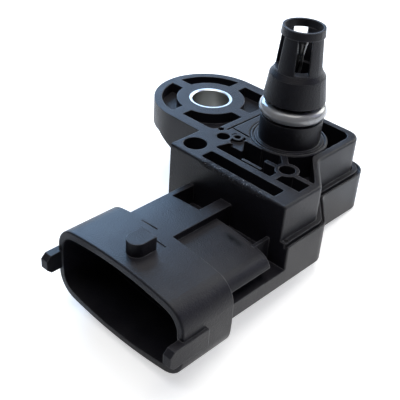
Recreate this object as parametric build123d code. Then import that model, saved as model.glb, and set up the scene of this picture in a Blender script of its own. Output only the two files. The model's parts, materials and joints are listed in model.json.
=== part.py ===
from build123d import *
import math
import os

# Manifold absolute pressure sensor with a built-in air temperature sensor.
# Sizes are millimetres. +Z runs up the pressure port, the origin is on the
# port's axis in the mounting face, the fixing hole lies on the -X side and
# the plug socket opens towards -Y.

# Pressure port
port_boss_r = 5.925
port_boss_top = 13.1
base_ring_r = 7.45
base_ring_edge = 0.25
base_groove_r = 6.8
base_groove_width = 0.3
base_groove_depth = 0.3
seal_groove_floor_r = 3.78
seal_groove_bottom = 4.75
seal_groove_top = 8.35
collar_foot_r = 5.83
collar_top_r = 5.2
shoulder_height = 0.95
shoulder_r = 4.47
port_channel_r = 1.7
port_channel_y = 0.9

# Cage round the temperature sensor
cage_foot_r = 4.45
cage_top_r = 3.92
cage_wall_bore_r = 3.25
cage_bore_r = 2.7
cage_floor = 8.6
window_foot = 14.3
window_height = 6.4
front_window_width = 2.6
side_window_width = 3.7
rear_window_rise = 1.5
window_turn = 45.0
top_ring_height = 1.45
top_ring_foot_r = 4.02
top_ring_r = 3.88
top_ring_hole_r = 3.4

# Seal ring on the port
seal_section_r = 1.29
seal_stretch_gap = 0.02
seal_side_gap = 0.2

# Body of the housing, seen from above
body_left = -12.3
body_right = 15.1
body_front = -19.4
rear_right = 9.35
jog_front = -9.4
jog_back = -2.7
jog_outer_r = 1.6
jog_inner_r = 2.2
rear_corner_r = 3.0
front_corner_r = 0.3
inner_corner_r = 1.0
ledge_width = 1.7
ledge_z = -7.0
ledge_lip_drop = 0.35
ledge_strip = 0.95
ledge_groove_width = 0.5
ledge_groove_depth = 0.9
ledge_dimple_r = 0.45
ledge_dimple_depth = 0.3
ledge_dimple_back = 0.9
body_bottom = -15.3
front_edge_r = 0.5

# Fixing ear
ear_r = 11.6
hole_x = -20.5
hole_y = -0.2
ear_thickness = 5.2
ear_rim = 1.6
ear_pocket_depth = 2.2
ear_boss_r = 7.0
ear_web = 2.4
ear_inner_pocket_right = -10.8
ear_inner_pocket_side = 9.3
ear_pocket_corner_r = 1.2
ear_boss_length = 8.0
gusset_thickness = 1.8
gusset_start_x = -24.0
gusset_foot_z = -11.3

# Fixing bush
bush_r = 4.4
bush_bore_r = 3.8
bush_mouth = 0.2

# Pad with the blind hole, and the ribbed pockets beside it
pad_right = -5.6
blind_hole_x = -9.45
blind_hole_y = -15.85
blind_hole_r = 2.25
blind_hole_depth = 5.0
pocket_depth = 5.0
pocket_wall = 1.6
pocket_corner_r = 0.3
pocket_round_r = 0.8
slot_corner_r = 0.4
front_lip = 1.2
front_pocket_end = 11.6
long_rib_y = -14.65
long_rib = 1.5
short_rib_y = -13.2
short_rib_start = -0.1
short_rib_end = 4.4
short_rib = 0.6
boss_ring_x = 7.65
boss_ring_y = -9.9
boss_ring_r = 2.25
boss_ring_hole_r = 1.5
boss_web = 1.2
boss_web_x = 3.4
boss_web_y = -5.85
side_web_y = -10.3
side_web = 0.95
free_web_end = 3.1
free_web_y = -10.4
plate_left = -9.2
plate_groove = 0.4
plate_groove_depth = 1.2
plate_groove_run = 1.4
plate_groove_slope = 0.3
plate_front = -6.0
plate_back = 5.6
corner_edge_x = -4.3
corner_edge_y = -7.9
corner_tip_x = -2.3
corner_tip_y = -10.6
side_pocket_left = -6.2
side_pocket_slant = 0.8
vent_big_x = -7.93
vent_big_y = -9.87
vent_big_r = 1.3
vent_small_x = -5.98
vent_small_y = -7.98
vent_small_r = 0.68
vent_pin_x = -10.18
vent_pin_y = -8.05
vent_pin_r = 0.6
vent_depth = 2.5
vent_ring = 0.45
vent_sink = 0.6
vent_recess_left = 0.6
vent_recess_side = 1.2
vent_recess_back = -7.1

# Chamber and its cover
chamber_wall = 1.8
chamber_roof = -6.6
cover_thickness = 1.4
cover_ledge = 0.9
cover_gap = 0.15
adhesive_height = 0.2

# Plug socket
socket_x = 2.4
socket_z = -13.6
socket_width = 31.0
socket_height = 16.4
socket_crown = 1.6
socket_side_bulge = 0.4
socket_corner_r = 4.6
socket_wall = 1.3
socket_mouth_y = -45.0
socket_length = 11.2
socket_floor_wall = 1.6
mouth_edge_r = 0.35

# Guide tabs at the sides of the mouth
tab_height = 3.6
tab_reach = 3.2
tab_thickness = 1.6
tab_chamfer = 0.9
tab_rib_proud = 0.55
tab_rib_length = 5.2

# Locking lug
lug_x = 2.5
lug_width = 3.6
lug_set_back = 2.4
lug_length = 4.4
lug_top = -2.8

# Neck between the socket and the body
spine_left = -7.0
spine_right = 3.5
spine_pocket_left = -5.8
spine_pocket_right = 0.9
spine_pocket_front = -24.9
spine_pocket_depth = 4.4
panel_drop = 1.35
panel_rear = -23.0
panel_foot = -10.0
neck_core_right = 14.4
core_rear_right = 10.2
panel_web_left = 12.0
panel_web = 0.7
panel_web_top = -7.5
tray_top = -12.2
tray_right = 16.8
seam_width = 0.25
seam_depth = 0.2
rear_seam_depth = 0.3
front_seam_back = 8.3
front_seam_left = 1.3
front_seam_right = 4.8
rear_seam_back = 10.6
rear_seam_left = -3.6
rear_seam_right = 0.4

# Terminals
terminal_count = 4
terminal_pitch = 4.0
terminal_width = 1.5
terminal_thickness = 0.64
terminal_row_rise = 1.8
terminal_reach = 4.0
terminal_tip_chamfer = 0.2
terminal_bend_back = 3.8
terminal_inner_y = -6.2

# Measuring cell
cell_y = 2.0
frame_inner = 5.6
frame_wall = 0.8
substrate_top = -9.3
substrate_thickness = 0.8
substrate_x = 18.0
substrate_y = 15.0
pedestal_side = 2.4
pedestal_height = 0.8
chip_side = 2.2
chip_height = 0.4
membrane_side = 1.0
membrane_depth = 0.25
gel_height = 1.9
wire_r = 0.04
wire_spread = 0.5
wire_pad_inset = 0.25
wire_reach = 0.5
capacitor_x = 1.6
capacitor_y = 0.8
capacitor_height = 0.8
capacitor_spacing = 6.0
capacitor_row_y = 4.5

# Temperature sensor
bead_r = 1.15
bead_foot_r = 0.75
bead_length = 3.4
bead_top = 20.2
lead_r = 0.25
lead_half_pitch = 1.2
lead_y = -2.1
lead_bead_half_pitch = 0.45
lead_bend_z = 14.6
lead_bend_r = 1.2
lead_straight_z = 11.2
lead_seal_height = 0.9
lead_seal_edge_y = -1.3
lead_seal_gap = 0.05

port_shoulder_top = port_boss_top + shoulder_height
window_top = window_foot + window_height
port_top = window_top + top_ring_height
body_back = hole_y + ear_r
terminal_inner_z = substrate_top - substrate_thickness - terminal_thickness / 2
socket_back_y = socket_mouth_y + socket_length
socket_floor_y = socket_back_y - socket_floor_wall
terminal_z = socket_z + terminal_row_rise
terminal_tip_y = socket_floor_y - terminal_reach
terminal_bend_y = socket_back_y + terminal_bend_back
lug_front = socket_mouth_y + lug_set_back
run_in = 0.5
FAR = 60.0


def block(x0, x1, y0, y1, z0, z1):
    """A box between two corners."""
    return Pos((x0 + x1) / 2, (y0 + y1) / 2, (z0 + z1) / 2) * Box(x1 - x0, y1 - y0, z1 - z0)


def rounded_outline(corners):
    """A face round the corners (x, y, radius), each rounded by its radius."""
    face = make_face(Polyline(*[(x, y) for x, y, _ in corners], close=True))
    for x, y, radius in corners:
        if radius > 0:
            corner = face.vertices().sort_by_distance((x, y, 0))[0]
            face = fillet(corner, radius)
    return face


def prism(face, z0, z1):
    """The face, drawn at Z zero, as a solid between two heights."""
    return extrude(Pos(0, 0, z0) * face, z1 - z0)


def bar(start, end, width):
    """A straight rib, seen from above, between two points."""
    (x0, y0), (x1, y1) = start, end
    length = math.hypot(x1 - x0, y1 - y0)
    turn = math.degrees(math.atan2(y1 - y0, x1 - x0))
    return Pos((x0 + x1) / 2, (y0 + y1) / 2) * Rot(0, 0, turn) * Rectangle(length, width)


def body_outline(grow):
    """The body from above; its right and rear sides stand out by grow."""
    slope_x = rear_right - body_right
    slope_y = jog_back - jog_front
    slope = math.hypot(slope_x, slope_y)
    shift = grow * (1 - slope_y / slope) / (-slope_x / slope)
    return rounded_outline([
        (body_left, body_front, 0),
        (body_right + grow, body_front, front_corner_r),
        (body_right + grow, jog_front + shift, jog_outer_r + grow),
        (rear_right + grow, jog_back + shift, jog_inner_r),
        (rear_right + grow, body_back + grow, rear_corner_r + grow / 2),
        (body_left, body_back + grow, 0),
    ])


def inner_outline(inset):
    """The lower body's outline, moved inwards on every side."""
    slope_x = rear_right - body_right
    slope_y = jog_back - jog_front
    slope = math.hypot(slope_x, slope_y)
    grow = ledge_width - inset
    shift = grow * (1 - slope_y / slope) / (-slope_x / slope)
    return rounded_outline([
        (body_left + inset, body_front + inset, inner_corner_r),
        (body_right + grow, body_front + inset, inner_corner_r),
        (body_right + grow, jog_front + shift, jog_outer_r),
        (rear_right + grow, jog_back + shift, jog_inner_r + inset),
        (rear_right + grow, body_back + grow, rear_corner_r - inset / 2),
        (body_left + inset, body_back + grow, inner_corner_r),
    ])


def socket_section(inset):
    """The socket's oval section, drawn about its own centre."""
    half_w = socket_width / 2 - inset
    half_h = socket_height / 2 - inset
    shoulder = half_h - socket_crown
    side = half_w - socket_side_bulge
    outline = [
        ThreePointArc((-side, shoulder), (0, half_h), (side, shoulder)),
        ThreePointArc((side, shoulder), (half_w, 0), (side, -shoulder)),
        ThreePointArc((side, -shoulder), (0, -half_h), (-side, -shoulder)),
        ThreePointArc((-side, -shoulder), (-half_w, 0), (-side, shoulder)),
    ]
    face = make_face(outline)
    return fillet(face.vertices(), socket_corner_r - inset)


def socket_prism(inset, y0, y1):
    """The socket's section as a solid from y0 forwards to y1."""
    plane = Plane(origin=(socket_x, y0, socket_z), x_dir=(1, 0, 0), z_dir=(0, -1, 0))
    return extrude(plane * socket_section(inset), y0 - y1)


def ear_outline():
    """The ear from above: a half round run straight into the body."""
    tongue = block(hole_x, body_left + 1, hole_y - ear_r, hole_y + ear_r, -ear_thickness, 0)
    return Pos(hole_x, hole_y, -ear_thickness / 2) * Cylinder(ear_r, ear_thickness) + tongue


def ear_pockets():
    """Four shallow pockets round the bush, split by webs along X and Y."""
    floor = -ear_pocket_depth
    ring = Circle(ear_r - ear_rim) - Circle(ear_boss_r)
    left_half = Pos(-ear_r / 2, 0) * Rectangle(ear_r, 2 * ear_r)
    outer = Pos(hole_x, hole_y) * (ring & left_half)
    reach = ear_inner_pocket_right - hole_x
    right_box = Pos(reach / 2, 0) * Rectangle(reach, 2 * ear_inner_pocket_side)
    right_box = fillet(right_box.vertices().group_by(Axis.X)[-1], ear_pocket_corner_r)
    inner = Pos(hole_x, hole_y) * (right_box - Circle(ear_boss_r))
    webs = Pos(hole_x, hole_y) * (Rectangle(FAR, ear_web) + Rectangle(ear_web, FAR))
    return prism(outer - webs, floor, 1) + prism(inner - webs, floor, 1)


def ear_gussets():
    """Sloped side webs under the ear that carry it on the body."""
    profile = make_face(Plane.XZ * Polyline(
        (gusset_start_x, -ear_thickness + run_in), (gusset_start_x, -ear_thickness),
        (body_left + run_in, gusset_foot_z), (body_left + run_in, -ear_thickness + run_in), close=True))
    front = Pos(0, hole_y - ear_r + gusset_thickness, 0) * extrude(profile, gusset_thickness)
    back = Pos(0, hole_y + ear_r, 0) * extrude(profile, gusset_thickness)
    round_end = Pos(hole_x, hole_y, -FAR / 2) * Cylinder(ear_r, FAR)
    tongue = block(hole_x, 0, -FAR, FAR, -FAR, 0)
    return (front + back) & (round_end + tongue)


def deep_room():
    """The room that the deep pockets share, from above, round the plate and the vents."""
    right = body_right - pocket_wall
    back = body_back - pocket_wall
    rib_back = long_rib_y + long_rib / 2
    return rounded_outline([
        (side_pocket_left, rib_back, pocket_corner_r),
        (right, rib_back, 0),
        (right, jog_front, jog_outer_r),
        (rear_right - pocket_wall, jog_back, jog_inner_r),
        (rear_right - pocket_wall, back, rear_corner_r - pocket_wall / 2),
        (plate_left + plate_groove, back, pocket_round_r),
        (plate_left + plate_groove, plate_back, pocket_round_r),
        (0, plate_back, 0),
        (0, corner_edge_y, 0),
        (corner_edge_x, corner_edge_y, pocket_corner_r),
        (corner_tip_x, corner_tip_y, pocket_corner_r),
        (side_pocket_left + side_pocket_slant, corner_tip_y, pocket_round_r),
    ])


def pocket_face():
    """The deep pockets of the body's top, less the ribs that cross them."""
    right = body_right - pocket_wall
    slot_front = body_front + front_lip
    slot_back = long_rib_y - long_rib / 2
    slot = rounded_outline([
        (pad_right, slot_front, slot_corner_r), (front_pocket_end, slot_front, slot_corner_r),
        (front_pocket_end, slot_back, slot_corner_r), (pad_right, slot_back, slot_corner_r)])
    ribs = Circle(base_ring_r)
    ribs += bar((short_rib_start, short_rib_y), (short_rib_end, short_rib_y), short_rib)
    ribs += bar((boss_web_x, boss_web_y), (boss_ring_x, boss_ring_y), boss_web)
    ribs += bar((boss_ring_x, boss_ring_y), (boss_ring_x, long_rib_y), boss_web)
    ribs += bar((free_web_end, free_web_y), (boss_ring_x, free_web_y), side_web)
    ribs += bar((boss_ring_x, side_web_y), (right + run_in, side_web_y), side_web)
    ribs += Pos(boss_ring_x, boss_ring_y) * Circle(boss_ring_r)
    return deep_room() - ribs + slot


def plate_grooves():
    """Narrow grooves round the flat plate between the ear and the port."""
    side = bar((plate_left, plate_front - plate_groove_run), (plate_left, plate_back), plate_groove)
    front = bar((plate_left, plate_front), (corner_edge_x, plate_front - plate_groove_slope), plate_groove)
    return (side + front) - Circle(base_ring_r)


def vent_recess():
    """The shallow recess round the two vents, which stand in it as rings."""
    recess = rounded_outline([
        (corner_edge_x, corner_edge_y, pocket_corner_r),
        (corner_tip_x, corner_tip_y, pocket_corner_r),
        (side_pocket_left + side_pocket_slant, corner_tip_y, pocket_corner_r),
        (vent_big_x + vent_recess_left, vent_big_y + vent_recess_side, pocket_corner_r),
        (vent_big_x + vent_recess_left, vent_recess_back, pocket_corner_r),
        (corner_edge_x, vent_recess_back, pocket_corner_r),
    ])
    recess -= Pos(vent_big_x, vent_big_y) * Circle(vent_big_r + vent_ring)
    recess -= Pos(vent_small_x, vent_small_y) * Circle(vent_small_r + vent_ring)
    return recess - Circle(base_ring_r)


def base_ring_edges():
    """The fine groove round the port's foot and the broken edge of its base ring."""
    half = base_groove_width / 2
    ring = Circle(base_groove_r + half) - Circle(base_groove_r - half)
    inner = base_ring_r - base_ring_edge
    outer = base_ring_r + base_ring_edge / 2
    profile = Polyline((inner, 1), (inner, 0), (outer, inner - outer), (outer, 1), close=True)
    edge = revolve(make_face(Plane.XZ * profile), Axis.Z)
    return prism(ring, -base_groove_depth, 1) + edge


def top_details():
    """Everything that is sunk into the body's top face."""
    cuts = prism(pocket_face(), -pocket_depth, 1)
    cuts += prism(Pos(blind_hole_x, blind_hole_y) * Circle(blind_hole_r), -blind_hole_depth, 1)
    cuts += prism(Pos(boss_ring_x, boss_ring_y) * Circle(boss_ring_hole_r), -pocket_depth, 1)
    cuts += prism(plate_grooves(), -plate_groove_depth, 1)
    cuts += prism(vent_recess(), -vent_sink, 1)
    for x, y, radius in (
        (vent_big_x, vent_big_y, vent_big_r),
        (vent_small_x, vent_small_y, vent_small_r),
        (vent_pin_x, vent_pin_y, vent_pin_r),
    ):
        cuts += prism(Pos(x, y) * Circle(radius), -vent_depth, 1)
    return cuts + base_ring_edges()


def ledge_details():
    """The groove along the ledge and the dimple at its front end."""
    inner = ledge_strip
    outer = ledge_strip + ledge_groove_width
    ring = body_outline(outer) - body_outline(inner)
    groove = prism(ring, ledge_z - ledge_groove_depth, 1)
    lip = prism(body_outline(ledge_width + 1) - body_outline(inner), ledge_z - ledge_lip_drop, 1)
    spot = Pos(body_right + ledge_strip / 2, body_front + ledge_dimple_back, ledge_z)
    dimple = spot * Cylinder(ledge_dimple_r, 2 * ledge_dimple_depth)
    return groove + lip + dimple


def body():
    """Upper body, wider lower body and the ledge between them."""
    upper = prism(body_outline(0), ledge_z, 0)
    lower = prism(body_outline(ledge_width), body_bottom, ledge_z)
    lip_edge = upper.faces().sort_by(Axis.Y)[0].edges().sort_by(Axis.Z)[-1]
    upper = fillet(lip_edge, front_edge_r)
    return upper + (lower - ledge_details())


def port_outer():
    """The turned outside of the pressure port, without its windows."""
    profile = Polyline(
        (0, -1), (port_boss_r, -1), (port_boss_r, seal_groove_bottom),
        (seal_groove_floor_r, seal_groove_bottom), (seal_groove_floor_r, seal_groove_top),
        (collar_foot_r, seal_groove_top), (collar_top_r, port_boss_top),
        (shoulder_r, port_shoulder_top), (cage_foot_r, port_shoulder_top),
        (cage_top_r, window_top), (top_ring_foot_r, window_top), (top_ring_r, port_top),
        (0, port_top), close=True)
    return revolve(make_face(Plane.XZ * profile), Axis.Z)


def port_bores():
    """The port's bore: cage room, pressure channel and two lead holes."""
    bores = Pos(0, 0, (cage_floor + window_top) / 2) * Cylinder(cage_bore_r, window_top - cage_floor)
    bores += Pos(0, 0, (window_foot + window_top) / 2) * Cylinder(cage_wall_bore_r, window_height)
    bores += Pos(0, 0, window_top + top_ring_height / 2) * Cylinder(top_ring_hole_r, top_ring_height)
    depth = cage_floor - chamber_roof
    channel_mid = (cage_floor + chamber_roof) / 2
    bores += Pos(0, port_channel_y, channel_mid) * Cylinder(port_channel_r, depth + 1)
    for side in (-1, 1):
        bores += Pos(side * lead_half_pitch, lead_y, channel_mid) * Cylinder(lead_r, depth + 1)
    return bores


def port_windows():
    """Two narrow windows, front and rear, and a wide one on each side of the cage."""
    height = window_top - window_foot
    half = FAR / 2
    front = Pos(half, 0, 0) * Box(FAR, front_window_width, height)
    rear_height = height - rear_window_rise
    rear = Pos(-half, 0, rear_window_rise / 2) * Box(FAR, front_window_width, rear_height)
    sides = Box(side_window_width, FAR, height)
    return Pos(0, 0, window_foot + height / 2) * Rot(0, 0, -window_turn) * (front + rear + sides)


def guide_tab(side):
    """A tab beyond the mouth that runs on as a rib along the socket."""
    outer = socket_x + side * (socket_width / 2 + tab_rib_proud)
    inner = outer - side * tab_thickness
    x0, x1 = min(outer, inner), max(outer, inner)
    z0, z1 = socket_z - tab_height / 2, socket_z + tab_height / 2
    tab = block(x0, x1, socket_mouth_y - tab_reach, socket_mouth_y + tab_rib_length, z0, z1)
    tip = tab.faces().sort_by(Axis.Y)[0].edges().filter_by(Axis.X)
    tab = chamfer(tip, tab_chamfer)
    return tab


def locking_lug():
    """The lug on top that the plug's catch snaps over."""
    nose = lug_front + lug_width / 2
    rear = lug_front + lug_length
    face = Pos(lug_x, nose) * Circle(lug_width / 2)
    face += Pos(lug_x, (nose + rear) / 2) * Rectangle(lug_width, rear - nose)
    top = socket_z + socket_height / 2
    return prism(face, top - run_in - socket_crown, lug_top)


def socket_shell():
    """The oval socket with its mouth, tabs, rear wall and lug."""
    shell = socket_prism(0, socket_back_y, socket_mouth_y)
    rim = shell.faces().sort_by(Axis.Y)[0].edges()
    shell = fillet(rim, mouth_edge_r)
    shell += guide_tab(-1) + guide_tab(1) + locking_lug()
    return shell


def neck():
    """Spine, sunk side panel and tray that carry the socket on the body."""
    back = body_front + run_in
    front = socket_back_y - run_in
    spine = socket_prism(0, back, front) & block(spine_left, spine_right, front, back, tray_top, FAR)
    spine -= block(spine_pocket_left, spine_pocket_right, spine_pocket_front, body_front,
                   socket_z + socket_height / 2 - spine_pocket_depth, FAR)
    panel = socket_prism(panel_drop, panel_rear, front) & block(
        spine_right - run_in, FAR, front, panel_rear, panel_foot, FAR)
    core_foot = tray_top - run_in
    core = block(spine_left, neck_core_right, front, panel_rear, core_foot, panel_foot)
    core += block(spine_left, core_rear_right, front, back, core_foot, panel_foot)
    web_right = panel_web_left + panel_web
    web = block(panel_web_left, web_right, panel_rear - run_in, back, core_foot, panel_web_top)
    tray = block(body_left, tray_right, front, back, body_bottom, tray_top)
    return spine + panel + core + web + tray


def seams():
    """Fine mould lines across the top of the socket and the spine."""
    top = socket_z + socket_height / 2
    front = socket_mouth_y + front_seam_back
    rear = socket_mouth_y + rear_seam_back
    lines = block(front_seam_left, front_seam_right, front, front + seam_width, top - seam_depth, FAR)
    lines += block(rear_seam_left, rear_seam_right, rear, rear + seam_width, top - rear_seam_depth, FAR)
    return lines


def chamber():
    """The room for the measuring cell, and the seat of its cover."""
    room = prism(inner_outline(chamber_wall), body_bottom - 1, chamber_roof)
    seat_z = body_bottom + cover_thickness + adhesive_height
    seat = prism(inner_outline(cover_ledge), body_bottom - 1, seat_z)
    return room + seat


def terminal_place(index):
    """The terminal's place along X, counted from the row's left end."""
    return socket_x + (index - (terminal_count - 1) / 2) * terminal_pitch


def terminal(index):
    """One bent terminal: a flat pin outside, a raised tail inside."""
    half = terminal_thickness / 2
    rise = terminal_inner_z - terminal_z
    bend = terminal_bend_y
    outline = Polyline(
        (terminal_tip_y + terminal_tip_chamfer, terminal_z - half), (bend, terminal_z - half),
        (bend + rise, terminal_inner_z - half), (terminal_inner_y, terminal_inner_z - half),
        (terminal_inner_y, terminal_inner_z + half), (bend + rise, terminal_inner_z + half),
        (bend, terminal_z + half), (terminal_tip_y + terminal_tip_chamfer, terminal_z + half),
        (terminal_tip_y, terminal_z + half - terminal_tip_chamfer),
        (terminal_tip_y, terminal_z - half + terminal_tip_chamfer), close=True)
    strip = extrude(make_face(Plane.YZ * outline), terminal_width)
    return Pos(terminal_place(index) - terminal_width / 2, 0, 0) * strip


def housing():
    """The moulded housing, one piece with port, ear, neck and socket."""
    solid = body() + ear_outline() + ear_gussets()
    solid += Pos(hole_x, hole_y, -ear_boss_length / 2) * Cylinder(ear_boss_r, ear_boss_length)
    solid += neck() + socket_shell() + port_outer()
    solid -= ear_pockets() + top_details()
    core_depth = pocket_depth + run_in
    solid += Pos(0, 0, -core_depth / 2) * Cylinder(base_groove_r - base_groove_width, core_depth)
    solid -= Pos(hole_x, hole_y, 0) * Cylinder(bush_r, FAR)
    solid -= port_windows() + port_bores()
    solid -= chamber()
    solid -= socket_prism(socket_wall, socket_floor_y, socket_mouth_y - 1)
    solid -= seams()
    for index in range(terminal_count):
        solid -= terminal(index)
    return solid


def bottom_cover():
    """The flat cover that closes the chamber from below."""
    face = inner_outline(cover_ledge + cover_gap)
    return prism(face, body_bottom, body_bottom + cover_thickness)


def cover_adhesive():
    """The glue bead between the cover's rim and its seat."""
    face = inner_outline(cover_ledge + cover_gap) - inner_outline(chamber_wall)
    foot = body_bottom + cover_thickness
    return prism(face, foot, foot + adhesive_height)


def mounting_bush():
    """The steel bush that takes the clamping force of the screw."""
    bush = Pos(hole_x, hole_y, -ear_boss_length / 2) * (
        Cylinder(bush_r, ear_boss_length) - Cylinder(bush_bore_r, ear_boss_length))
    rims = bush.edges().filter_by(GeomType.CIRCLE).sort_by(SortBy.RADIUS)[:2]
    return chamfer(rims, bush_mouth)


def port_seal_ring():
    """The rubber ring in the port's groove."""
    middle = seal_groove_bottom + seal_section_r + seal_side_gap
    return Pos(0, 0, middle) * Torus(seal_groove_floor_r + seal_section_r + seal_stretch_gap, seal_section_r)


def thermistor_bead():
    """The drop-shaped bead at the end of the two leads."""
    foot = bead_top - bead_length
    shoulder = bead_top - bead_r
    half = bead_r * math.sqrt(0.5)
    outline = [
        Line((0, foot), (bead_foot_r, foot)),
        Line((bead_foot_r, foot), (bead_r, shoulder)),
        ThreePointArc((bead_r, shoulder), (half, shoulder + half), (0, bead_top)),
        Line((0, bead_top), (0, foot)),
    ]
    return revolve(Plane.XZ * make_face(outline), Axis.Z)


def thermistor_lead(side):
    """A wire from the bead down through its hole to the ceramic board."""
    foot = bead_top - bead_length
    path = FilletPolyline(
        (side * lead_bead_half_pitch, 0, foot), (side * lead_bead_half_pitch, 0, lead_bend_z),
        (side * lead_half_pitch, lead_y, lead_straight_z),
        (side * lead_half_pitch, lead_y, substrate_top), radius=lead_bend_r)
    start = Plane(origin=(side * lead_bead_half_pitch, 0, foot), z_dir=(0, 0, -1))
    return sweep(start * Circle(lead_r), path)


def thermistor_lead_seal():
    """The sealing compound round the leads where they leave the cage."""
    foot = cage_floor
    room = Pos(0, 0, foot + lead_seal_height / 2) * Cylinder(cage_bore_r - lead_seal_gap, lead_seal_height)
    room &= block(-FAR, FAR, -FAR, lead_seal_edge_y, -FAR, FAR)
    for side in (-1, 1):
        room -= Pos(side * lead_half_pitch, lead_y, foot) * Cylinder(lead_r, FAR)
    return room


def ceramic_substrate():
    """The ceramic board that carries the cell and its circuit."""
    middle = substrate_top - substrate_thickness / 2
    return Pos(0, 0, middle) * Box(substrate_x, substrate_y, substrate_thickness)


def gel_frame():
    """The square frame that holds the gel and seals to the roof."""
    height = chamber_roof - substrate_top
    outer = frame_inner + 2 * frame_wall
    ring = Rectangle(outer, outer) - Rectangle(frame_inner, frame_inner)
    return prism(Pos(0, cell_y) * ring, substrate_top, substrate_top + height)


def glass_pedestal():
    """The glass base under the silicon chip."""
    middle = substrate_top + pedestal_height / 2
    return Pos(0, cell_y, middle) * Box(pedestal_side, pedestal_side, pedestal_height)


def sensor_chip():
    """The silicon chip with its etched membrane."""
    foot = substrate_top + pedestal_height
    chip = Pos(0, cell_y, foot + chip_height / 2) * Box(chip_side, chip_side, chip_height)
    hollow = Pos(0, cell_y, foot) * Box(membrane_side, membrane_side, 2 * membrane_depth)
    return chip - hollow


def bond_wires():
    """Fine wires from the chip's corners down to the board."""
    top = substrate_top + pedestal_height + chip_height + wire_r
    edge = chip_side / 2 - wire_pad_inset
    wires = []
    for side in (-1, 1):
        for row in (-1, 1):
            y = cell_y + row * wire_spread
            flat = Line((side * edge, y, top), (side * (edge + wire_reach), y, top))
            wire = sweep(Plane(origin=flat @ 0, z_dir=(side, 0, 0)) * Circle(wire_r), flat)
            drop = top - wire_r - substrate_top
            x = side * (edge + wire_reach)
            post = Pos(x, y, substrate_top + (drop + 2 * wire_r) / 2) * Cylinder(wire_r, drop + 2 * wire_r)
            wires.append(wire + post)
    return Compound(children=wires)


def protective_gel(wires):
    """The gel that covers the chip inside its frame."""
    gel = Pos(0, cell_y, substrate_top + gel_height / 2) * Box(frame_inner, frame_inner, gel_height)
    gel -= glass_pedestal() + sensor_chip()
    foot = substrate_top + pedestal_height
    gel -= Pos(0, cell_y, foot) * Box(membrane_side, membrane_side, 2 * membrane_depth)
    for wire in wires.solids():
        gel -= wire
    return gel


def capacitor(index):
    """A small capacitor under the board."""
    x = (index - 0.5) * capacitor_spacing
    z = substrate_top - substrate_thickness - capacitor_height / 2
    return Pos(x, capacitor_row_y, z) * Box(capacitor_x, capacitor_y, capacitor_height)


def build_parts():
    """Every separate piece by its name."""
    wires = bond_wires()
    parts = {
        "housing": housing(),
        "bottom_cover": bottom_cover(),
        "cover_adhesive": cover_adhesive(),
        "mounting_bush": mounting_bush(),
        "port_seal_ring": port_seal_ring(),
        "thermistor_bead": thermistor_bead(),
        "thermistor_lead_1": thermistor_lead(-1),
        "thermistor_lead_2": thermistor_lead(1),
        "thermistor_lead_seal": thermistor_lead_seal(),
        "ceramic_substrate": ceramic_substrate(),
        "gel_frame": gel_frame(),
        "glass_pedestal": glass_pedestal(),
        "sensor_chip": sensor_chip(),
        "bond_wires": wires,
        "protective_gel": protective_gel(wires),
    }
    for index in range(terminal_count):
        parts[f"terminal_{index + 1}"] = terminal(index)
    for index in range(2):
        parts[f"capacitor_{index + 1}"] = capacitor(index)
    return parts


os.makedirs("parts", exist_ok=True)
for name, shape in build_parts().items():
    export_step(shape, f"parts/{name}.step")
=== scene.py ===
"""Looks of a manifold absolute pressure sensor: finishes, light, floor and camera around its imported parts.

Lengths are in metres in the frame of the part: +Z up along the pressure port, the origin on the port's
axis at the mounting face, the connector socket open towards -Y.
"""
import json
import math

import bpy
from mathutils import Matrix, Vector

MM = 0.001

# Camera, as the photograph was taken: angles in degrees, image in pixels, sensor in millimetres
IMAGE_SIDE = 400
IMAGE_CENTRE = (201.660, 199.528)
FOCAL_PIXELS = 777.15
VIEW_AZIMUTH = 41.966
VIEW_ELEVATION = 34.074
VIEW_ROLL = 4.327
VIEW_DISTANCE = 137.523 * MM
VIEW_TARGET = (-0.654 * MM, -22.710 * MM, -5.0 * MM)
SENSOR_WIDTH = 36.0
CLIP_START = 5.0 * MM
CLIP_END = 20.0

# Floor: Y and Z of the edges that the part lies on, its bottom cover's rear one and its socket's front one
REST_REAR = (13.0 * MM, -15.3 * MM)
REST_FRONT = (-33.8 * MM, -21.8 * MM)
FLOOR_GAP = 0.05 * MM
FLOOR_RADIUS = 3.0
FLOOR_SIDES = 96
PAPER_COLOUR = (0.86, 0.86, 0.86, 1)
WHITE = (1, 1, 1, 1)

# How much the paper glows for the camera near the part and far from it, and the distances where that changes
FLOOR_SEEN = 0.58
FAR_FLOOR_SEEN = 1.0
FLOOR_FADE = (250.0 * MM, 900.0 * MM)

# How much it glows for gloss and glass, and the floor's Y where that begins and where it is full
FLOOR_MIRRORED = 0.75
MIRRORED_FADE = (-68.0 * MM, -46.0 * MM)

# The room round the floor: its light, and what the camera, and gloss and glass, see of it
ROOM_LIGHT = 0.03
ROOM_SEEN = 1.0
ROOM_MIRRORED = 0.06

LAMP_DISTANCE = 600.0 * MM

# Front lip of the body's top face, chipped and scuffed: lowest and highest corner, and its soft sides
LIP_LOW = (-5.0 * MM, -19.6 * MM, -0.9 * MM)
LIP_HIGH = (11.2 * MM, -18.2 * MM, 0.4 * MM)
LIP_FADE = (1.5 * MM, 0.15 * MM, 0.25 * MM)

# Greasy mark on the neck's side panel, beside its rear edge: the same three
MARK_LOW = (6.6 * MM, -26.0 * MM, -9.5 * MM)
MARK_HIGH = (11.9 * MM, -23.9 * MM, -5.5 * MM)
MARK_FADE = (1.6 * MM, 1.0 * MM, 0.5 * MM)

# Height of the grain, from its lowest to its highest points
GRAIN_HEIGHT = 0.08 * MM
METAL_GRAIN_HEIGHT = 0.02 * MM

# How much lighter the mottle makes a colour, how much rougher dust, scuffs and grease make a surface, and
# how deep scuffs go beside the grain
MOTTLE_GAIN = 1.35
DUST_ROUGHNESS = 0.40
SCUFF_ROUGHNESS = 0.35
MARK_ROUGHNESS = 0.55
SCUFF_DEPTH = 2.5

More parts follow.
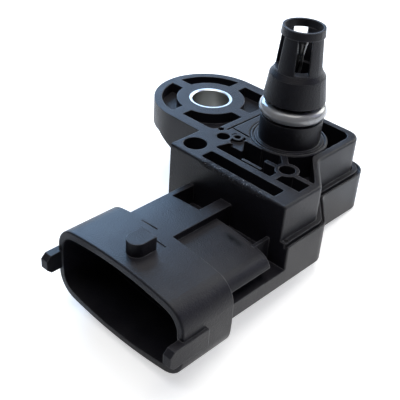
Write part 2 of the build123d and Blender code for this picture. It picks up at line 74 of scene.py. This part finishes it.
MOULDED_COLOUR = (0.0085, 0.0080, 0.0112, 1)
# Light grey for rounded edges: partly wear, partly a painted highlight of edges catching the light.
EDGE_WEAR_AND_HIGHLIGHT_COLOUR = (0.210, 0.208, 0.220, 1)
CHIP_COLOUR = (0.26, 0.26, 0.27, 1)
MARK_COLOUR = (0.001, 0.001, 0.001, 1)
DUST_COLOUR = (0.30, 0.29, 0.28, 1)


def feed(tree, socket, value):
    """Links a node's output to a socket, or sets the socket to a constant."""
    if isinstance(value, bpy.types.NodeSocket):
        tree.links.new(value, socket)
    else:
        socket.default_value = value


def put(tree, kind, **settings):
    """Adds a node and sets its properties, and its unlinked inputs where a name is an input's."""
    node = tree.nodes.new(kind)
    for key, value in settings.items():
        label = key.replace("_", " ").title()
        if label in node.inputs:
            node.inputs[label].default_value = value
        else:
            setattr(node, key, value)
    return node


def maths(tree, operation, *values):
    """A Math node whose inputs are links or numbers."""
    node = put(tree, "ShaderNodeMath", operation=operation)
    for socket, value in zip(node.inputs, values):
        feed(tree, socket, value)
    return node.outputs[0]


def ramp(tree, value, low, high, low_out=0.0, high_out=1.0):
    """Maps a value from one span to another, clamped."""
    node = put(tree, "ShaderNodeMapRange", clamp=True, from_min=low, from_max=high)
    tree.links.new(value, node.inputs["Value"])
    node.inputs["To Min"].default_value = low_out
    node.inputs["To Max"].default_value = high_out
    return node.outputs["Result"]


def blend_colours(tree, mask, base, over):
    """Base colour where the mask is 0 and the other where it is 1."""
    node = put(tree, "ShaderNodeMix", data_type="RGBA")
    feed(tree, node.inputs["Factor"], mask)
    colours = [socket for socket in node.inputs if socket.type == "RGBA"]
    for socket, value in zip(colours, (base, over)):
        feed(tree, socket, value)
    return next(socket for socket in node.outputs if socket.type == "RGBA")


def shade(colour, factor):
    """A colour made lighter or darker."""
    return tuple(part * factor for part in colour[:3]) + (1,)


def object_place(tree):
    """The place on the part, in metres."""
    return tree.nodes.new("ShaderNodeTexCoord").outputs["Object"]


def split(tree, vector):
    """The X, Y and Z of a vector."""
    node = tree.nodes.new("ShaderNodeSeparateXYZ")
    tree.links.new(vector, node.inputs[0])
    return node.outputs


def upward(tree):
    """1 on faces that look up, 0 on upright ones and -1 on those that look down."""
    return split(tree, tree.nodes.new("ShaderNodeNewGeometry").outputs["Normal"])["Z"]


def noise(tree, place, per_metre, detail, roughness=0.5):
    """Noise over the part, with so many waves per metre."""
    node = put(tree, "ShaderNodeTexNoise", detail=detail, roughness=roughness)
    tree.links.new(place, node.inputs["Vector"])
    feed(tree, node.inputs["Scale"], per_metre)
    return node.outputs["Fac"]


def soft_box(tree, place, low, high, fades):
    """1 inside a box of object coordinates and 0 outside it, with soft sides."""
    inside = 1.0
    for value, start, end, fade in zip(split(tree, place), low, high, fades):
        after = ramp(tree, value, start, start + fade)
        before = ramp(tree, value, end, end - fade)
        inside = maths(tree, "MULTIPLY", inside, maths(tree, "MULTIPLY", after, before))
    return inside


def new_group(name, inputs, outputs):
    """An empty node group with number inputs (name: default) and outputs (name: kind)."""
    group = bpy.data.node_groups.new(name, "ShaderNodeTree")
    for label, default in inputs.items():
        socket = group.interface.new_socket(label, in_out="INPUT", socket_type="NodeSocketFloat")
        socket.default_value = default
    for label, kind in outputs.items():
        group.interface.new_socket(label, in_out="OUTPUT", socket_type=kind)
    return group, group.nodes.new("NodeGroupInput").outputs, group.nodes.new("NodeGroupOutput").inputs


def moulded_grain_group():
    """Fine spark-eroded grain of a mould, with a slow mottle of its gloss over centimetres."""
    group, given, out = new_group(
        "Moulded Grain",
        {"Grains Per Metre": 6000.0, "Mottle Per Metre": 140.0},
        {"Grain": "NodeSocketFloat", "Mottle": "NodeSocketFloat"},
    )
    place = object_place(group)
    fine = noise(group, place, given["Grains Per Metre"], detail=3.0, roughness=0.65)
    slow = noise(group, place, given["Mottle Per Metre"], detail=4.0, roughness=0.55)
    group.links.new(fine, out["Grain"])
    group.links.new(ramp(group, slow, low=0.3, high=0.7), out["Mottle"])
    return group


def soft_edges_group():
    """The normal of edges rounded by a moulding radius, and a patchy mask of those edges."""
    group, given, out = new_group(
        "Soft Edges",
        {"Edge Radius": 0.2 * MM, "Patches Per Metre": 500.0},
        {"Normal": "NodeSocketVector", "Edge": "NodeSocketFloat"},
    )
    rounded = put(group, "ShaderNodeBevel", samples=6)
    group.links.new(given["Edge Radius"], rounded.inputs["Radius"])
    both = put(group, "ShaderNodeVectorMath", operation="DOT_PRODUCT")
    group.links.new(rounded.outputs["Normal"], both.inputs[0])
    group.links.new(group.nodes.new("ShaderNodeNewGeometry").outputs["Normal"], both.inputs[1])
    edge = ramp(group, both.outputs["Value"], low=0.998, high=0.90)
    patches = noise(group, object_place(group), given["Patches Per Metre"], detail=3.0)
    patchy = ramp(group, patches, low=0.35, high=0.65, low_out=0.35)
    group.links.new(rounded.outputs["Normal"], out["Normal"])
    group.links.new(maths(group, "MULTIPLY", edge, patchy), out["Edge"])
    return group


def settled_dust_group():
    """Fine dust on faces that look up, thicker in patches, with a few larger specks."""
    group, given, out = new_group(
        "Settled Dust",
        {"Amount": 0.2, "Patches Per Metre": 160.0, "Specks Per Metre": 2500.0},
        {"Dust": "NodeSocketFloat"},
    )
    place = object_place(group)
    patches = noise(group, place, given["Patches Per Metre"], detail=5.0)
    specks = noise(group, place, given["Specks Per Metre"], detail=2.0)
    thick = ramp(group, patches, low=0.35, high=0.75, high_out=0.5)
    speck = ramp(group, specks, low=0.68, high=0.78)
    level = ramp(group, upward(group), low=0.25, high=0.95)
    lying = maths(group, "MULTIPLY", maths(group, "ADD", thick, speck), level)
    group.links.new(maths(group, "MULTIPLY", lying, given["Amount"]), out["Dust"])
    return group


def chipped_lip_group():
    """Scuffs and bright chips along the front lip of the body, fading out at its ends and away from it."""
    group, given, out = new_group(
        "Chipped Lip",
        {"Scuffs Per Metre": 900.0, "Chips Per Metre": 1500.0},
        {"Scuff": "NodeSocketFloat", "Chip": "NodeSocketFloat"},
    )
    place = object_place(group)
    inside = soft_box(group, place, LIP_LOW, LIP_HIGH, LIP_FADE)
    scuffs = noise(group, place, given["Scuffs Per Metre"], detail=4.0, roughness=0.7)
    chips = noise(group, place, given["Chips Per Metre"], detail=4.0, roughness=0.7)
    group.links.new(maths(group, "MULTIPLY", inside, ramp(group, scuffs, low=0.40, high=0.58)), out["Scuff"])
    group.links.new(maths(group, "MULTIPLY", inside, ramp(group, chips, low=0.60, high=0.66)), out["Chip"])
    return group


def greasy_mark_group():
    """A dark, slightly blotchy mark on the neck's side panel."""
    group, given, out = new_group(
        "Greasy Mark",
        {"Blotches Per Metre": 520.0},
        {"Mark": "NodeSocketFloat"},
    )
    place = object_place(group)
    blotches = noise(group, place, given["Blotches Per Metre"], detail=3.0, roughness=0.6)
    blotchy = ramp(group, blotches, low=0.35, high=0.60, low_out=0.45)
    inside = soft_box(group, place, MARK_LOW, MARK_HIGH, MARK_FADE)
    group.links.new(maths(group, "MULTIPLY", inside, blotchy), out["Mark"])
    return group


def place_group(tree, group, **values):
    """Puts a shared effect into a material with its own values, and gives its outputs."""
    node = tree.nodes.new("ShaderNodeGroup")
    node.node_tree = group
    for key, value in values.items():
        node.inputs[key.replace("_", " ").title()].default_value = value
    return node.outputs


def new_material(name):
    """A material whose only nodes are the Principled shader and its output."""
    material = bpy.data.materials.new(name)
    material.use_nodes = True
    tree = material.node_tree
    shader = next(node for node in tree.nodes if node.type == "BSDF_PRINCIPLED")
    return material, tree, shader.inputs


def raise_grain(tree, surface, grain, edge_normal, strength, height):
    """Gives a surface the relief of its grain, on top of its rounded edges."""
    bump = put(tree, "ShaderNodeBump", strength=strength, distance=height)
    tree.links.new(grain, bump.inputs["Height"])
    tree.links.new(edge_normal, bump.inputs["Normal"])
    tree.links.new(bump.outputs["Normal"], surface["Normal"])


def grainy_finish(name, colour, worn_and_highlit_edge_colour, groups, roughness, grain, bump, edge_radius, edge_wear_and_highlight, dust,
                  specular=0.5, coat=0.0, coat_roughness=0.15, mottle=0.06, used=False):
    """A moulded or cast surface with grain, mottled gloss, rubbed edges lightened further as a painted
    highlight, and a little dust.

    One grain and the edge radius are in millimetres. A used one has the chipped lip and the greasy mark too.
    """
    material, tree, surface = new_material(name)
    relief = place_group(tree, groups["grain"], grains_per_metre=1.0 / (grain * MM))
    edges = place_group(tree, groups["edges"], edge_radius=edge_radius * MM)
    dusty = place_group(tree, groups["dust"], amount=dust)["Dust"]
    height = relief["Grain"]
    base = blend_colours(tree, relief["Mottle"], colour, shade(colour, MOTTLE_GAIN))
    # Edges lightened: partly wear, partly a painted highlight where rounded edges would catch the light.
    base = blend_colours(tree, maths(tree, "MULTIPLY", edges["Edge"], edge_wear_and_highlight), base, worn_and_highlit_edge_colour)
    base = blend_colours(tree, dusty, base, DUST_COLOUR)
    gloss = ramp(tree, relief["Mottle"], 0.0, 1.0, roughness - mottle, roughness + mottle)
    gloss = maths(tree, "ADD", gloss, maths(tree, "MULTIPLY", dusty, DUST_ROUGHNESS))
    if used:
        lip = place_group(tree, groups["lip"])
        mark = place_group(tree, groups["mark"])["Mark"]
        height = maths(tree, "SUBTRACT", height, maths(tree, "MULTIPLY", lip["Scuff"], SCUFF_DEPTH))
        base = blend_colours(tree, lip["Chip"], base, CHIP_COLOUR)
        base = blend_colours(tree, mark, base, MARK_COLOUR)
        gloss = maths(tree, "ADD", gloss, maths(tree, "MULTIPLY", lip["Scuff"], SCUFF_ROUGHNESS))
        gloss = maths(tree, "ADD", gloss, maths(tree, "MULTIPLY", mark, MARK_ROUGHNESS))
    raise_grain(tree, surface, height, edges["Normal"], bump, GRAIN_HEIGHT)
    tree.links.new(base, surface["Base Color"])
    tree.links.new(gloss, surface["Roughness"])
    surface["Specular IOR Level"].default_value = specular
    surface["Coat Weight"].default_value = coat
    surface["Coat Roughness"].default_value = coat_roughness
    return material


def metal_finish(name, colour, dark, groups, roughness, grains_per_metre, bump, upright_shade_colour=None):
    """Turned, drawn or plated metal, with a fine grain and a darker bloom. Upright faces may be painted
    darker, as painted shade.
    """
    material, tree, surface = new_material(name)
    relief = place_group(tree, groups["grain"], grains_per_metre=grains_per_metre, mottle_per_metre=420.0)
    edges = place_group(tree, groups["edges"], edge_radius=0.08 * MM)
    raise_grain(tree, surface, relief["Grain"], edges["Normal"], bump, METAL_GRAIN_HEIGHT)
    bloom = maths(tree, "MULTIPLY", relief["Mottle"], 0.6)
    base = blend_colours(tree, bloom, colour, dark)
    if upright_shade_colour:
        # Painted shade: upright faces, the bore among them, take a darker colour.
        upright = ramp(tree, maths(tree, "ABSOLUTE", upward(tree)), low=0.5, high=0.2)
        base = blend_colours(tree, upright, base, upright_shade_colour)
    tree.links.new(base, surface["Base Color"])
    tree.links.new(ramp(tree, relief["Mottle"], 0.0, 1.0, roughness, roughness + 0.12), surface["Roughness"])
    surface["Metallic"].default_value = 1.0
    return material


def clear_finish(name, colour, groups, roughness, ior):
    """Clear glass or gel, slightly uneven."""
    material, tree, surface = new_material(name)
    relief = place_group(tree, groups["grain"], grains_per_metre=700.0, mottle_per_metre=300.0)
    tree.links.new(blend_colours(tree, relief["Mottle"], colour, shade(colour, 0.9)), surface["Base Color"])
    tree.links.new(ramp(tree, relief["Mottle"], 0.0, 1.0, roughness, roughness + 0.05), surface["Roughness"])
    surface["Transmission Weight"].default_value = 1.0
    surface["IOR"].default_value = ior
    return material


def make_finishes():
    """One finish for each material slot of the record."""
    groups = {
        "grain": moulded_grain_group(),
        "edges": soft_edges_group(),
        "dust": settled_dust_group(),
        "lip": chipped_lip_group(),
        "mark": greasy_mark_group(),
    }
    return {
        "moulded_black": grainy_finish(
            "Moulded black", MOULDED_COLOUR, EDGE_WEAR_AND_HIGHLIGHT_COLOUR, groups, roughness=0.40, grain=0.30,
            bump=0.90, edge_radius=0.28, edge_wear_and_highlight=0.40, dust=0.07, specular=0.25, used=True),
        "cover_black": grainy_finish(
            "Cover black", (0.012, 0.012, 0.013, 1), EDGE_WEAR_AND_HIGHLIGHT_COLOUR, groups, roughness=0.48, grain=0.2,
            bump=0.3, edge_radius=0.2, edge_wear_and_highlight=0.25, dust=0.08, specular=0.4),
        "adhesive_grey": grainy_finish(
            "Adhesive grey", (0.055, 0.056, 0.060, 1), (0.10, 0.10, 0.11, 1), groups, roughness=0.35,
            grain=0.4, bump=0.15, edge_radius=0.1, edge_wear_and_highlight=0.1, dust=0.05),
        # Painted shade on the bush's upright faces and in its bore.
        "bush_steel": metal_finish(
            "Bush steel", (0.88, 0.93, 0.96, 1), (0.75, 0.78, 0.80, 1), groups, roughness=0.30,
            grains_per_metre=9000.0, bump=0.10, upright_shade_colour=(0.34, 0.34, 0.325, 1)),
        "seal_rubber": grainy_finish(
            "Seal rubber", (0.27, 0.27, 0.275, 1), (0.34, 0.34, 0.35, 1), groups, roughness=0.24,
            grain=0.10, bump=0.10, edge_radius=0.05, edge_wear_and_highlight=0.1, dust=0.04, specular=0.9, coat=0.7,
            coat_roughness=0.10),
        "bead_epoxy": grainy_finish(
            "Bead epoxy", (0.020, 0.020, 0.022, 1), (0.05, 0.05, 0.055, 1), groups, roughness=0.20,
            grain=0.3, bump=0.1, edge_radius=0.05, edge_wear_and_highlight=0.05, dust=0.05, coat=0.5),
        # Leads coloured very dark as painted shade of the inside of the cage; the tinned leads themselves are
        # lighter.
        "lead_wire": metal_finish(
            "Lead wire", (0.070, 0.069, 0.067, 1), (0.030, 0.030, 0.030, 1), groups, roughness=0.42,
            grains_per_metre=14000.0, bump=0.1),
        "sealing_compound": grainy_finish(
            "Sealing compound", (0.030, 0.031, 0.034, 1), (0.08, 0.08, 0.09, 1), groups, roughness=0.32,
            grain=0.5, bump=0.2, edge_radius=0.1, edge_wear_and_highlight=0.05, dust=0.05),
        "board_ceramic": grainy_finish(
            "Board ceramic", (0.68, 0.67, 0.62, 1), (0.78, 0.78, 0.75, 1), groups, roughness=0.5,
            grain=0.12, bump=0.2, edge_radius=0.05, edge_wear_and_highlight=0.2, dust=0.03),
        "frame_plastic": grainy_finish(
            "Frame plastic", (0.05, 0.052, 0.056, 1), (0.12, 0.12, 0.13, 1), groups, roughness=0.4,
            grain=0.2, bump=0.2, edge_radius=0.1, edge_wear_and_highlight=0.2, dust=0.03),
        "pedestal_glass": clear_finish(
            "Pedestal glass", (0.90, 0.96, 0.93, 1), groups, roughness=0.03, ior=1.47),
        "silicon": metal_finish(
            "Silicon", (0.20, 0.21, 0.24, 1), (0.13, 0.14, 0.17, 1), groups, roughness=0.12,
            grains_per_metre=20000.0, bump=0.03),
        "gold_wire": metal_finish(
            "Gold wire", (0.86, 0.62, 0.27, 1), (0.70, 0.48, 0.20, 1), groups, roughness=0.18,
            grains_per_metre=20000.0, bump=0.05),
        "clear_gel": clear_finish(
            "Clear gel", (0.93, 0.95, 0.96, 1), groups, roughness=0.05, ior=1.41),
        "capacitor_ceramic": grainy_finish(
            "Capacitor ceramic", (0.30, 0.20, 0.12, 1), (0.42, 0.32, 0.22, 1), groups, roughness=0.45,
            grain=0.1, bump=0.2, edge_radius=0.05, edge_wear_and_highlight=0.2, dust=0.02),
        "terminal_tin": metal_finish(
            "Terminal tin", (0.66, 0.66, 0.64, 1), (0.47, 0.47, 0.46, 1), groups, roughness=0.26,
            grains_per_metre=12000.0, bump=0.1),
    }


def node_slots(record):
    """The material slot of each node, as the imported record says."""
    return {part["node"]: part["material_slot"] for part in record["subparts"]}


def dress(nodes, slots, finishes):
    """Gives every node the finish of its slot in place of the plain one it came with."""
    for name, piece in nodes.items():
        finish = finishes[slots[name]]
        for slot in piece.material_slots:
            slot.material = finish
        if not piece.material_slots:
            piece.data.materials.append(finish)


def seen_glow(tree, for_camera, for_mirrors):
    """How much a thing glows for the camera and in what gloss and glass show. It lights nothing else."""
    rays = tree.nodes.new("ShaderNodeLightPath").outputs
    straight = maths(tree, "MULTIPLY", rays["Is Camera Ray"], for_camera)
    bounced = maths(tree, "MAXIMUM", rays["Is Glossy Ray"], rays["Is Transmission Ray"])
    return maths(tree, "ADD", straight, maths(tree, "MULTIPLY", bounced, for_mirrors))


def floor_material():
    """White paper, lifted to white for the camera and, behind and beside the part, for gloss and glass."""
    material, tree, surface = new_material("White paper")
    place = object_place(tree)
    distance = put(tree, "ShaderNodeVectorMath", operation="LENGTH")
    tree.links.new(place, distance.inputs[0])
    for_camera = ramp(tree, distance.outputs["Value"], *FLOOR_FADE, FLOOR_SEEN, FAR_FLOOR_SEEN)
    for_mirrors = ramp(tree, split(tree, place)["Y"], *MIRRORED_FADE, 0.0, FLOOR_MIRRORED)
    tree.links.new(seen_glow(tree, for_camera, for_mirrors), surface["Emission Strength"])
    surface["Emission Color"].default_value = WHITE
    surface["Base Color"].default_value = PAPER_COLOUR
    surface["Roughness"].default_value = 0.9
    surface["Specular IOR Level"].default_value = 0.1
    return material


def rest_plane():
    """A point of the floor and its up direction, through both edges that the part lies on."""
    (rear_y, rear_z), (front_y, front_z) = REST_REAR, REST_FRONT
    tilt = math.atan2(rear_z - front_z, rear_y - front_y)
    up = Vector((0, -math.sin(tilt), math.cos(tilt)))
    return Vector((0, rear_y, rear_z)) - up * FLOOR_GAP, up


def make_floor():
    """A large round sheet of white paper that the part lies on."""
    point, up = rest_plane()
    bpy.ops.mesh.primitive_circle_add(vertices=FLOOR_SIDES, radius=FLOOR_RADIUS, fill_type="NGON")
    floor = bpy.context.object
    floor.name = "paper_floor"
    floor.rotation_mode = "QUATERNION"
    floor.rotation_quaternion = up.to_track_quat("Z", "Y")
    floor.location = point
    floor.data.materials.append(floor_material())


def outward(azimuth, elevation):
    """The direction from the part to a lamp or the camera. Azimuth 0 stands at -Y and 90 degrees at +X."""
    a, e = math.radians(azimuth), math.radians(elevation)
    return Vector((math.sin(a) * math.cos(e), -math.cos(a) * math.cos(e), math.sin(e)))


def soft_lamp(name, azimuth, elevation, width, height, watts, colour):
    """A rectangular lamp that faces the part."""
    data = bpy.data.lights.new(name, "AREA")
    data.shape = "RECTANGLE"
    data.size = width
    data.size_y = height
    data.energy = watts
    data.color = colour
    lamp = bpy.data.objects.new(name, data)
    bpy.context.scene.collection.objects.link(lamp)
    towards = outward(azimuth, elevation)
    lamp.location = Vector(VIEW_TARGET) + towards * LAMP_DISTANCE
    lamp.rotation_mode = "QUATERNION"
    lamp.rotation_quaternion = towards.to_track_quat("Z", "Y")


def dim_room():
    """A world that lights faintly, is white to the camera and shows a little of itself in gloss and glass."""
    world = bpy.data.worlds.new("Soft room")
    world.use_nodes = True
    tree = world.node_tree
    room = tree.nodes["Background"].inputs
    glow = seen_glow(tree, ROOM_SEEN - ROOM_LIGHT, ROOM_MIRRORED - ROOM_LIGHT)
    tree.links.new(maths(tree, "ADD", glow, ROOM_LIGHT), room["Strength"])
    room["Color"].default_value = WHITE
    return world


def light_studio():
    """A cool window behind on the left, plain soft lamps round the other sides, and a dim room."""
    soft_lamp("window lamp", 246, 29, 0.30, 0.30, 2.95, (0.405, 0.655, 1.0))
    soft_lamp("high window", 215, 65, 0.26, 0.26, 1.08, (0.92, 0.90, 0.90))
    soft_lamp("low window", 222, 19, 0.22, 0.14, 0.30, (0.50, 0.68, 1.0))
    soft_lamp("rear lamp", 172, 30, 0.30, 0.30, 1.63, (0.97, 1.0, 0.96))
    soft_lamp("right lamp", 140, 35, 0.30, 0.30, 0.28, (0.40, 0.45, 1.0))
    soft_lamp("top lamp", 60, 80, 0.34, 0.34, 1.38, (1.0, 0.98, 0.95))
    soft_lamp("front lamp", 330, 60, 0.26, 0.26, 0.48, (0.85, 0.90, 1.0))
    bpy.context.scene.world = dim_room()


def make_camera():
    """The photograph's camera, from its direction, roll, distance and focal length in pixels."""
    back = outward(VIEW_AZIMUTH, VIEW_ELEVATION)
    azimuth = math.radians(VIEW_AZIMUTH)
    roll = math.radians(VIEW_ROLL)
    right = Vector((math.cos(azimuth), math.sin(azimuth), 0))
    up = back.cross(right)
    rolled_right = right * math.cos(roll) + up * math.sin(roll)
    rolled_up = up * math.cos(roll) - right * math.sin(roll)
    data = bpy.data.cameras.new("camera")
    data.sensor_width = SENSOR_WIDTH
    data.lens = FOCAL_PIXELS / IMAGE_SIDE * SENSOR_WIDTH
    data.shift_x = (IMAGE_SIDE / 2 - IMAGE_CENTRE[0]) / IMAGE_SIDE
    data.shift_y = (IMAGE_CENTRE[1] - IMAGE_SIDE / 2) / IMAGE_SIDE
    data.clip_start = CLIP_START
    data.clip_end = CLIP_END
    camera = bpy.data.objects.new("camera", data)
    bpy.context.scene.collection.objects.link(camera)
    axes = Matrix((rolled_right, rolled_up, back)).transposed()
    spot = Vector(VIEW_TARGET) + back * VIEW_DISTANCE
    camera.matrix_world = Matrix.Translation(spot) @ axes.to_4x4()
    bpy.context.scene.camera = camera


with open("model.json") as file:
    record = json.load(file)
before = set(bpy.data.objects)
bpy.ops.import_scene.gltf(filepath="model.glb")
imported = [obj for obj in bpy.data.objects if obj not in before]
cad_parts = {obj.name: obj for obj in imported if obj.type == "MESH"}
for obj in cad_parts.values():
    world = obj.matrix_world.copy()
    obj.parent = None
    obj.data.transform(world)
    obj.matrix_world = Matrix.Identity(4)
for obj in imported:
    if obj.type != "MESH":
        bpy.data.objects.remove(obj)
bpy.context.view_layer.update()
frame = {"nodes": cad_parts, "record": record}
bpy.context.scene.view_settings.view_transform = "Standard"
dress(frame["nodes"], node_slots(frame["record"]), make_finishes())
make_floor()
light_studio()
make_camera()
